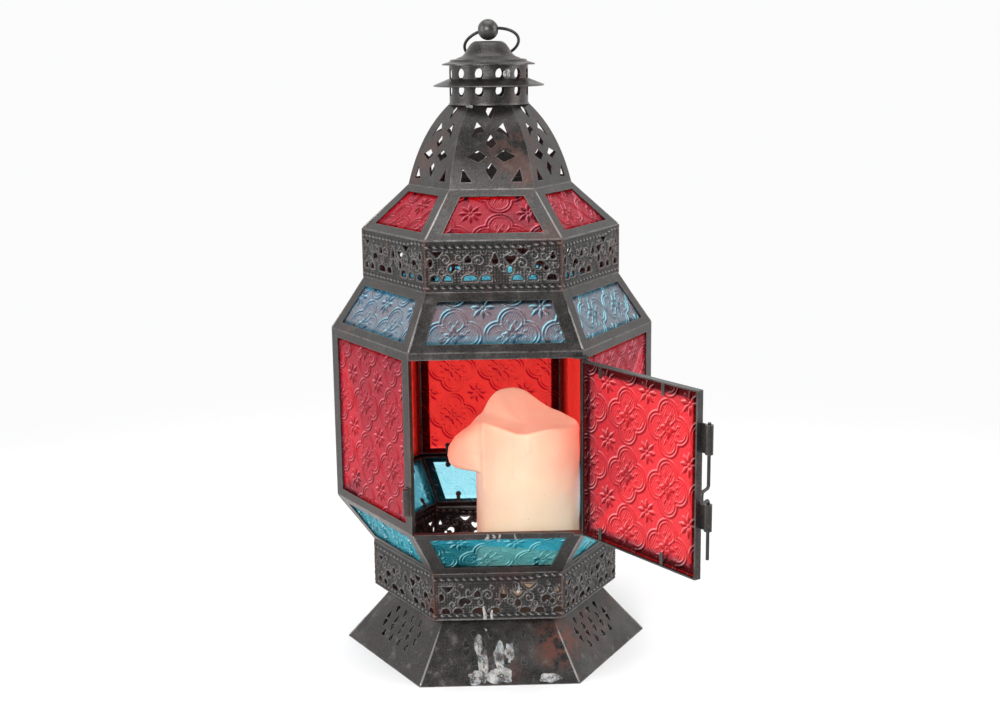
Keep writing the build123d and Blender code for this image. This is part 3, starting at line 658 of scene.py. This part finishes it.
def pierced_band(node, shift):
    """An embossed and pierced band in place of a plain CAD one. Its stamping sits off centre by
    shift."""
    s = sizes()
    lo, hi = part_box(node)
    radius = hi.x
    tall = hi.z - lo.z
    inner = radius - SHEET / cos(radians(30))
    columns = int(radius / s.band_cell) | 1
    rows = int(tall / s.band_cell) | 1
    y, x = np.meshgrid(
        np.linspace(-tall / 2, tall / 2, rows) / MM,
        np.linspace(-radius / 2, radius / 2, columns) / MM,
        indexing="ij",
    )
    step = 0.05

    def stamped(px, py):
        return pierced_distance(px - shift[0], py - shift[1])

    holes = stamped(x, y)
    slope_x = (stamped(x + step, y) - stamped(x - step, y)) / (2 * step)
    slope_y = (stamped(x, y + step) - stamped(x, y - step)) / (2 * step)
    near = np.abs(holes) < 0.55 * s.band_cell / MM
    x = np.where(near, x - holes * slope_x, x)
    y = np.where(near, y - holes * slope_y, y)
    quads = grid_faces(rows, columns)
    middle_x = x.ravel()[quads].mean(1)
    middle_y = y.ravel()[quads].mean(1)
    quads = quads[stamped(middle_x, middle_y) > 0]
    shape = band_relief(x, y, tall / MM, np.abs(stamped(x, y)), shift)
    edge = smoothstep(np.abs(x), radius / 2 / MM - 1.2, radius / 2 / MM - 0.2)
    shape = np.maximum(shape, 0.66 * edge)
    carve = s.band_depth * (1 - shape)
    corner = smoothstep(np.abs(x), radius / 2 / MM - 5.5, radius / 2 / MM - 1.0)
    centre_z = (lo.z + hi.z) / 2
    points, faces, rust, relief, hollow = [], [], [], [], []
    for k in range(SIDES):
        angle = radians(-90 + 60 * k)
        out = np.array((cos(angle), sin(angle), 0))
        across = np.array((-sin(angle), cos(angle), 0))
        start = sum(len(p) for p in points)
        for reach in (radius, inner):
            away = reach * cos(radians(30)) - carve
            along = x * MM * away / (radius * cos(radians(30)))
            layer = along[..., None] * across + away[..., None] * out
            layer[..., 2] += centre_z + y * MM
            points.append(layer.reshape(-1, 3))
            rust.append((0.5 * corner).ravel())
            relief.append(shape.ravel())
            # painted shade: near black in the hollows of the embossing, none on the raised parts
            hollow.append((0.85 * smoothstep(shape, 0.75, 0.1)).ravel())
        size = rows * columns
        faces.append(quads + start)
        faces.append(quads[:, ::-1] + start + size)
        near_end, far_end = open_edges(quads, columns).T + start
        faces.append(np.stack([far_end, near_end, near_end + size, far_end + size], -1))
    quads = np.concatenate(faces)
    used, back = np.unique(quads, return_inverse=True)
    points = np.concatenate(points)[used]
    layers = {"rust": rust, "relief": relief, "hollow": hollow}
    marks = {label: np.concatenate(values)[used] for label, values in layers.items()}
    bright = (0.34, 0.33, 0.32)
    finish = tin_material("Band tin", bare=bright, rust=0.4, wear=0.8, patches=0.05, bump=0.2)
    made = mesh_object("pierced_" + node, points, list(back.reshape(-1, 4)), finish, marks)
    work = bmesh.new()
    work.from_mesh(made.data)
    bmesh.ops.remove_doubles(work, verts=work.verts, dist=1e-6)
    work.to_mesh(made.data)
    work.free()
    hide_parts(node)
    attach(made, "lantern_body")


class LANTERN_OT_bands(bpy.types.Operator):
    """Replace the two plain bands with embossed and pierced ones"""

    bl_idname = "lantern.bands"
    bl_label = "Pierced bands"

    def execute(self, context):
        pierced_band("lower_band", (2.5, -2.6))
        pierced_band("upper_band", (0.0, 0.0))
        return {"FINISHED"}


# --- candle -------------------------------------------------------------------------------------
def turn_apart(a, b):
    """Angle between two bearings, in degrees."""
    return (a - b + 180) % 360 - 180


def rough(x, y, z, size, seed=0.0):
    """Smooth noise round 0 whose swells are about size across."""
    return noise.noise(Vector((x / size + seed, y / size, z / size)))


# height of the burnt rim by bearing: a lobe is left standing at the back
RIM = (
    (-30, 144.0), (0, 142.0), (36, 143.8), (58, 145.6), (74, 151.0), (91, 157.8), (106, 160.4),
    (127, 158.8), (139, 153.8), (149, 147.0), (180, 145.4), (210, 148.4), (230, 148.4), (244, 146.0),
    (257, 143.9), (280, 146.0), (300, 146.7), (330, 144.0), (360, 142.0), (396, 143.8),
)


def rim_height(bearing):
    """Height of the burnt rim, in millimetres, round the candle."""
    bearings, heights = zip(*RIM)
    near = [np.interp(bearing + shift, bearings, heights) for shift in (-8, -4, 0, 4, 8)]
    return float(np.dot(near, (0.1, 0.22, 0.36, 0.22, 0.1))) + 0.25 * sin(radians(bearing * 9))


# how far the melted lip hangs out, by height
LIP = (
    (113.4, 0.0), (114.2, 8.0), (115.7, 14.6), (118.5, 17.4), (123.0, 18.6), (128.5, 17.8),
    (135.0, 13.4), (139.0, 8.2), (142.0, 3.8), (145.0, 1.4), (150.0, 0.0),
)


def slump(bearing, z):
    """How far the melted lip on the left hangs out beyond the side."""
    across = turn_apart(bearing, 182) / (14.0 + 0.5 * max(0.0, z - 126))
    heights, reaches = zip(*LIP)
    return float(np.interp(z, heights, reaches)) * np.exp(-abs(across) ** 2.6)


HOLLOW_FLOOR = 142.4  # height of the wax in the middle of the hollow
RIM_ROUND = 2.2  # height over which the rim rounds off
# runs of wax down the side: bearing, lower end and width
RUNS = ((210, 105.5, 1.5), (254, 115.0, 1.4), (268, 133.0, 1.6))


def side_reach(bearing, z, foot, radius, skin):
    """How far the candle's side is from its axis, in millimetres."""
    a = radians(bearing)
    r = radius - 0.9 + skin * rough(40 * cos(a), 40 * sin(a), z, 14) + slump(bearing, z)
    for middle, end, wide in RUNS:
        gap = turn_apart(bearing, middle) * radius * pi / 180 / wide
        if abs(gap) < 2.5 and z > end - 2:
            bulb = 0.5 * np.exp(-(((z - end) / 2.4) ** 2))
            r += (0.5 + bulb) * np.exp(-(gap**2)) * min(1.0, (z - end + 2) / 2.5)
    r -= 1.3 * max(0.0, (z - rim_height(bearing) + RIM_ROUND) / RIM_ROUND) ** 2
    r -= 1.2 * max(0.0, (foot + 2 - z) / 2) ** 2
    return r


class LANTERN_OT_candle(bpy.types.Operator):
    """Replace the plain candle with a burnt-down one whose rim has slumped on one side"""

    bl_idname = "lantern.candle"
    bl_label = "Candle"

    def execute(self, context):
        wick_lo, wick_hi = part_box("wick")
        lo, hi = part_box("candle")
        centre_x = (wick_lo.x + wick_hi.x) / 2 / MM
        radius = (hi.y - lo.y) / 2 / MM
        foot = lo.z / MM
        skin = sizes().candle_skin / MM
        turns = 216
        bearings = [360 * i / turns for i in range(turns)]
        points, blush = [], []
        levels = list(np.linspace(0, 0.62, 26)) + list(np.linspace(0.635, 1.0, 64))
        for level in levels:
            for bearing in bearings:
                a = radians(bearing)
                z = foot + (rim_height(bearing) - foot) * level
                r = side_reach(bearing, z, foot, radius, skin)
                points.append((centre_x + r * cos(a), r * sin(a), z))
                # painted glow of light through the wax: warmest on the slumped lip and towards the top
                hang = min(1.0, slump(bearing, z) / 9)
                blush.append(max(hang, smoothstep(z, 108.0, 148.0) * 0.7))
        inner = 34
        for j in range(1, inner + 1):
            share = 1 - j / (inner + 0.5)
            r = (radius - 2.2) * share
            for bearing in bearings:
                a = radians(bearing)
                z = HOLLOW_FLOOR + (rim_height(bearing) - HOLLOW_FLOOR) * share**1.9
                z += 0.25 * rough(r * cos(a), r * sin(a), 0, 9, 5) * share
                points.append((centre_x + r * cos(a), r * sin(a), z))
                # painted glow of light through the wax in the hollow
                blush.append(0.95)
        rows = len(levels) + inner
        faces = list(grid_faces(rows, turns, closed=True))
        faces.append(np.arange(turns)[::-1])
        faces.append(np.arange((rows - 1) * turns, rows * turns))
        points = np.array(points) * MM
        made = mesh_object("melted_candle", points, faces, wax_material(), {"blush": blush})
        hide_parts("candle")
        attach(made, "candle")
        return {"FINISHED"}


# --- solder and wax -----------------------------------------------------------------------------
def tube(name, path, radii, finish, around=10, squash=1.0, normal=None, attributes=None):
    """A closed tube through the points of a path, flattened along normal if that is given."""
    path = [Vector(p) for p in path]
    points = []
    for i, place in enumerate(path):
        ahead = (path[min(i + 1, len(path) - 1)] - path[max(i - 1, 0)]).normalized()
        out = Vector(normal) if normal else ahead.orthogonal()
        out = (out - ahead * out.dot(ahead)).normalized()
        side = ahead.cross(out)
        for j in range(around):
            a = 2 * pi * j / around
            points.append(place + radii[i] * (cos(a) * side + squash * sin(a) * out))
    faces = list(grid_faces(len(path), around, closed=True))
    faces.append(np.arange(around)[::-1])
    faces.append(np.arange((len(path) - 1) * around, len(path) * around))
    marks = {label: [value] * len(points) for label, value in (attributes or {}).items()}
    return mesh_object(name, np.array([tuple(p) for p in points]), faces, finish, marks)


def corner_radius(node, z):
    """How far a node's corners are from the axis near a height."""
    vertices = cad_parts[node].data.vertices
    return max(hypot(v.co.x, v.co.y) for v in vertices if abs(v.co.z - z) < 0.4 * MM)


def join(name, parts):
    """One object of several, under a new name."""
    work = bmesh.new()
    for part in parts:
        work.from_mesh(part.data)
    keep = parts[0]
    work.to_mesh(keep.data)
    work.free()
    for part in parts[1:]:
        bpy.data.objects.remove(part)
    keep.name = name
    return keep


class LANTERN_OT_seams(bpy.types.Operator):
    """Run bright solder along the corners where the frames meet"""

    bl_idname = "lantern.seams"
    bl_label = "Solder seams"

    def execute(self, context):
        grey, bright = (0.16, 0.155, 0.15), (0.42, 0.41, 0.39)
        finish = tin_material("Solder", tin=grey, bare=bright, rust=0.3, wear=0.8)
        rings = []
        for node in ("foot_skirt", "lower_frames", "wall_frame_3", "upper_frames", "roof_frames"):
            lo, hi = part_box(node)
            top = hi.z if node != "lower_frames" else hi.z - 0.2 * MM
            low = lo.z if node != "roof_frames" else lo.z + 0.9 * MM
            rings.append((node, corner_radius(node, low), low, corner_radius(node, top), top))
        seam = sizes().seam
        for node, low_r, low, high_r, high in rings:
            parts = []
            for k in range(SIDES):
                if node == "wall_frame_3" and k in (0, 5):
                    continue
                a = radians(-60 + 60 * k)
                path, radii = [], []
                for i in range(25):
                    t = i / 24
                    r = low_r + (high_r - low_r) * t - seam
                    z = low + (high - low) * (0.012 + 0.976 * t)
                    path.append((r * cos(a), r * sin(a), z))
                    wobble = 0.93 + 0.07 * rough(i * 9.0, k * 31.0, low / MM, 7)
                    radii.append(seam * wobble)
                parts.append(tube(f"{node}_seam_{k}", path, radii, finish))
            made = join(node.replace("frame_3", "frames") + "_seams", parts)
            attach(made, "lantern_body")
        grey, bright = (0.10, 0.10, 0.10), (0.55, 0.54, 0.53)
        dab = tin_material("Solder dab", tin=grey, bare=bright, rust=0.1, wear=1.0)
        blobs = []
        for x, y, z, wide, tall in ((10.4, -22.0, 365.8, 2.2, 3.4), (-12.2, -21.8, 346.4, 2.4, 1.2)):
            blobs.append(self.blob(x, y, z, wide, tall, dab))
        made = join("solder_blobs", blobs)
        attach(made, "lantern_body")
        return {"FINISHED"}

    def blob(self, x, y, z, wide, tall, finish):
        """A flat dab of solder facing away from the axis."""
        work = bmesh.new()
        bmesh.ops.create_icosphere(work, subdivisions=4, radius=1.0)
        out = Vector((x, y, 0)).normalized()
        side = Vector((0, 0, 1)).cross(out)
        for v in work.verts:
            p = v.co.copy()
            swell = 1 + 0.28 * rough(p.x * 10, p.y * 10, p.z * 10, 7, x)
            spread = side * p.x * wide + out * p.y + Vector((0, 0, p.z * tall))
            v.co = (Vector((x, y, z)) + swell * spread) * MM
        mesh = bpy.data.meshes.new("dab")
        work.to_mesh(mesh)
        work.free()
        for face in mesh.polygons:
            face.use_smooth = True
        mesh.materials.append(finish)
        made = bpy.data.objects.new("dab", mesh)
        bpy.context.collection.objects.link(made)
        return made


# drips that ran down the front: x, top, bottom, and radius in millimetres
SILL_DRIPS = ((-6.4, 98.0, 93.6, 1.5), (-2.6, 98.0, 95.0, 1.3), (0.7, 98.0, 92.0, 1.2),
              (10.2, 98.0, 93.0, 1.0))
BAND_DRIPS = ((12.6, 60.0, 53.4, 1.0), (-8.6, 45.5, 36.6, 1.4), (-4.0, 43.0, 36.8, 1.1))
FOOT_DRIPS = ((-8.0, 28.6, 27.0, 0.9), (2.0, 12.0, 8.5, 1.1), (6.5, 16.0, 11.0, 1.0))
SMEARS = ((-9.5, 10.5, 3.2, 8.0), (1.0, 4.6, 9.0, 3.4), (31.0, 3.2, 7.4, 2.0), (-15.0, 3.6, 4.0, 3.0),
          (0.5, 14.5, 3.4, 6.0), (6.5, 16.5, 3.0, 4.2), (-12.5, 20.0, 2.6, 5.0))


class LANTERN_OT_wax(bpy.types.Operator):
    """Add the wax that dripped down the front"""

    bl_idname = "lantern.wax"
    bl_label = "Wax drips"

    def front(self, bottom_r, bottom, top_r, top, z):
        """Distance of a front face from the axis at a height."""
        share = (z - bottom) / (top - bottom)
        return -cos(radians(30)) * (bottom_r + (top_r - bottom_r) * share)

    def drip(self, x, high, low, radius, face, out, finish):
        """A run of wax down a face, ending in a drop."""
        path, radii = [], []
        for i in range(17):
            t = i / 16
            z = high + (low - high) * t
            sway = 0.35 * sin(5 * t + x)
            body = 0.55 + 0.45 * t**2 if t < 0.9 else 1.0
            ends = min(1.0, (t + 0.02) * 8, (1.02 - t) * 9) ** 0.5
            path.append(((x + sway) * MM, face(z) * MM, z * MM))
            radii.append(radius * body * ends * MM)
        return tube("drip", path, radii, finish, 12, 0.55, out, {"blush": 0.05})

    def smear(self, x, z, wide, tall, face, out, finish):
        """A thin ragged film of wax on a face."""
        points = [(x * MM, (face(z) + out[1] * 0.26) * MM, (z + out[2] * 0.26) * MM)]
        count = 72
        rings = 5
        for j in range(1, rings + 1):
            for i in range(count):
                a = 2 * pi * i / count
                reach = j / rings * (1 + 0.5 * rough(9 * cos(a), 9 * sin(a), x, 6))
                px = x + wide * reach * cos(a)
                pz = z + tall * reach * sin(a)
                lift = 0.22 * (1 - (j / rings) ** 4) + 0.04
                points.append((px * MM, (face(pz) + out[1] * lift) * MM, (pz + out[2] * lift) * MM))
        faces = [(0, 1 + i, 1 + (i + 1) % count) for i in range(count)]
        faces += [f + 1 for f in grid_faces(rings, count, closed=True)]
        return mesh_object("film", np.array(points), faces, finish, {"blush": [0.0] * len(points)})

    def execute(self, context):
        finish = wax_material("Cold wax", film=True)
        foot_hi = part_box("foot_skirt")[1]
        band_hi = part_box("lower_band")[1]
        sill_lo, sill_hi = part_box("lower_frames")
        foot_top = foot_hi.z / MM
        foot_r = (foot_hi.x / MM, corner_radius("foot_skirt", foot_hi.z) / MM)
        sill_r = (corner_radius("lower_frames", sill_lo.z) / MM, sill_hi.x / MM)

        def on_foot(z):
            return self.front(foot_r[0], 0, foot_r[1], foot_top, z)

        def on_band(z):
            return self.front(band_hi.x / MM, 0, band_hi.x / MM, 1, z)

        def on_sill(z):
            return self.front(sill_r[0], sill_lo.z / MM, sill_r[1], sill_hi.z / MM, z)

        groups = (
            ("sill", SILL_DRIPS, on_sill, (0, -0.8, -0.6)),
            ("band", BAND_DRIPS, on_band, (0, -1, 0)),
            ("foot", FOOT_DRIPS, on_foot, (0, -0.78, 0.62)),
        )
        for label, drips, face, out in groups:
            parts = [self.drip(x, high, low, r, face, out, finish) for x, high, low, r in drips]
            if label == "foot":
                parts += [self.smear(x, z, wide, tall, face, out, finish) for x, z, wide, tall in SMEARS]
            made = join(f"wax_on_{label}", parts)
            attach(made, "lantern_body")
        return {"FINISHED"}


# --- finishes of the CAD nodes ------------------------------------------------------------------
class LANTERN_OT_finishes(bpy.types.Operator):
    """Give every CAD node that still shows a worn metal finish"""

    bl_idname = "lantern.finishes"
    bl_label = "Metal finishes"

    def execute(self, context):
        c = colours()
        frames = tin_material("Frame tin", rust=0.22, wear=1.0, patches=0.12)
        dome_spot = ((0.015, -0.036, 0.320), 0.022, 0.35)
        foot_spot = ((0.036, -0.068, 0.019), 0.019, 0.8)
        dome = tin_material("Dome tin", rust=0.3, wear=0.9, patches=0.12, spot=dome_spot)
        foot = tin_material("Foot tin", rust=0.3, wear=1.5, patches=0.22, spot=foot_spot)
        collar = tin_material("Collar tin", rust=0.3, wear=0.8, patches=0.12)
        dull = {"tin": tuple(c.wire), "bare": (0.14, 0.135, 0.13)}
        wire = tin_material("Dark wire", rust=0.2, wear=0.4, patches=0.1, **dull)
        grey = (0.05, 0.048, 0.046)
        ball = tin_material("Polished tin", tin=grey, rust=0.1, wear=0.3, patches=0.1, bump=0.08)
        char = {"tin": (0.03, 0.025, 0.02), "bare": (0.1, 0.09, 0.08)}
        wick = tin_material("Charred wick", rust=0, wear=0, **char)
        special = {"dome": dome, "foot_skirt": foot, "collar": collar, "brim": collar, "cap": collar}
        special.update({"finial_ball": ball, "carrying_ring": wire, "latch_bolt": wire, "hinge_rod": wire})
        special.update({"finial_screw": wire, "finial_nut": wire, "wick": wick})
        for name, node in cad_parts.items():
            if node.hide_render:
                continue
            node.data.materials.clear()
            node.data.materials.append(special.get(name, frames))
        return {"FINISHED"}


# --- studio -------------------------------------------------------------------------------------
CAMERA_PLACE = (-0.0205, -0.9321, 0.3823)
CAMERA_LENS = 53.54
CAMERA_HEADING = radians(1.557)
CAMERA_PITCH = radians(11.823)
CAMERA_ROLL = radians(-0.721)
PALE = (0.97, 0.97, 0.975)


class LANTERN_OT_stage(bpy.types.Operator):
    """Set the floor, the lights and the camera"""

    bl_idname = "lantern.stage"
    bl_label = "Studio"

    def light(self, name, place, target, wide, tall, power):
        """A white area light that points at a target."""
        data = bpy.data.lights.new(name, "AREA")
        data.shape = "RECTANGLE"
        data.size = wide
        data.size_y = tall
        data.energy = power
        made = bpy.data.objects.new(name, data)
        made.location = place
        made.rotation_euler = (Vector(target) - Vector(place)).to_track_quat("-Z", "Y").to_euler()
        bpy.context.collection.objects.link(made)

    def execute(self, context):
        made, t, surface = material("Studio floor")
        grain = t.noise(t.add("ShaderNodeTexCoord").outputs["Object"], 6, 2)
        tone = t.mix(t.between(grain, 0.3, 0.7), (0.90, 0.90, 0.90), (0.93, 0.93, 0.93))
        values = {"Base Color": tone, "Roughness": 0.6}
        near = t.add("ShaderNodeBsdfPrincipled", values).outputs[0]
        place = t.add("ShaderNodeTexCoord").outputs["Object"]
        away = t.add("ShaderNodeVectorMath", {0: place}, operation="LENGTH").outputs["Value"]
        far = t.add("ShaderNodeEmission", {"Color": PALE, "Strength": 1.0}).outputs[0]
        blend = t.add("ShaderNodeMixShader", {0: t.between(away, 0.16, 0.75), 1: near, 2: far}).outputs[0]
        t.tree.links.new(blend, surface)
        points, steps = [], 48
        for r in (0.0001, 0.5, 1.5, 4.0):
            points += [(r * cos(2 * pi * i / steps), r * sin(2 * pi * i / steps), 0) for i in range(steps)]
        faces = list(grid_faces(4, steps, closed=True)) + [np.arange(steps)[::-1]]
        floor = mesh_object("studio_floor", np.array(points), faces, made, smooth=False)

        world = bpy.data.worlds.new("Studio")
        world.use_nodes = True
        world.node_tree.nodes.clear()
        t = Tree(world.node_tree)
        out = t.add("ShaderNodeOutputWorld").inputs["Surface"]
        way = t.add("ShaderNodeTexCoord").outputs["Generated"]
        depth = t.add("ShaderNodeSeparateXYZ", {0: way}).outputs["Y"]
        tone = t.mix(t.between(depth, -0.55, 0.25), (0.14, 0.14, 0.15), (1.0, 1.0, 1.0))
        seen = t.add("ShaderNodeLightPath").outputs["Is Camera Ray"]
        tone = t.mix(seen, tone, PALE)
        t.tree.links.new(t.add("ShaderNodeBackground", {"Color": tone}).outputs[0], out)
        context.scene.world = world

        self.light("Left", (-1.3, -0.35, 0.6), (0, 0, 0.2), 0.7, 1.2, 9)
        self.light("Right", (1.3, -0.2, 0.6), (0, 0, 0.2), 0.7, 1.2, 9)
        self.light("Top", (0, -0.1, 1.4), (0, 0, 0.2), 1.0, 1.0, 8)
        self.light("Front", (-0.45, -1.5, 0.75), (0, 0, 0.15), 0.8, 0.6, 20)

        level = Vector((sin(CAMERA_HEADING), cos(CAMERA_HEADING), 0))
        ahead = level * cos(CAMERA_PITCH) - Vector((0, 0, sin(CAMERA_PITCH)))
        right = Vector((level.y, -level.x, 0))
        up = right.cross(ahead)
        x_axis = cos(CAMERA_ROLL) * right + sin(CAMERA_ROLL) * up
        y_axis = -sin(CAMERA_ROLL) * right + cos(CAMERA_ROLL) * up
        data = bpy.data.cameras.new("Camera")
        data.sensor_width = 36
        data.lens = CAMERA_LENS
        camera = bpy.data.objects.new("Camera", data)
        turn = Matrix((x_axis, y_axis, -ahead)).transposed().to_4x4()
        camera.matrix_world = Matrix.Translation(CAMERA_PLACE) @ turn
        bpy.context.collection.objects.link(camera)
        context.scene.camera = camera
        context.scene.view_settings.view_transform = "Standard"
        return {"FINISHED"}


OPERATORS = (
    LANTERN_OT_glass,
    LANTERN_OT_bands,
    LANTERN_OT_candle,
    LANTERN_OT_seams,
    LANTERN_OT_wax,
    LANTERN_OT_finishes,
    LANTERN_OT_stage,
)


class LANTERN_PT_looks(bpy.types.Panel):
    """Lists the steps that dress the lantern"""

    bl_idname = "LANTERN_PT_looks"
    bl_label = "Lantern"
    bl_space_type = "VIEW_3D"
    bl_region_type = "UI"
    bl_category = "Lantern"

    def draw(self, context):
        for operator in OPERATORS:
            self.layout.operator(operator.bl_idname)
        for group in (context.scene.lantern_sizes, context.scene.lantern_colours):
            box = self.layout.box()
            for name in group.bl_rna.properties.keys():
                if name not in ("rna_type", "name"):
                    box.prop(group, name)


CLASSES = (LanternSizes, LanternColours, *OPERATORS, LANTERN_PT_looks)


def register():
    for item in CLASSES:
        bpy.utils.register_class(item)
    bpy.types.Scene.lantern_sizes = bpy.props.PointerProperty(type=LanternSizes)
    bpy.types.Scene.lantern_colours = bpy.props.PointerProperty(type=LanternColours)


def unregister():
    del bpy.types.Scene.lantern_colours
    del bpy.types.Scene.lantern_sizes
    for item in reversed(CLASSES):
        bpy.utils.unregister_class(item)


def main():
    register()
    for step in ("glass", "bands", "candle", "seams", "wax", "finishes", "stage"):
        getattr(bpy.ops.lantern, step)()


if __name__ == "__main__":
    main()
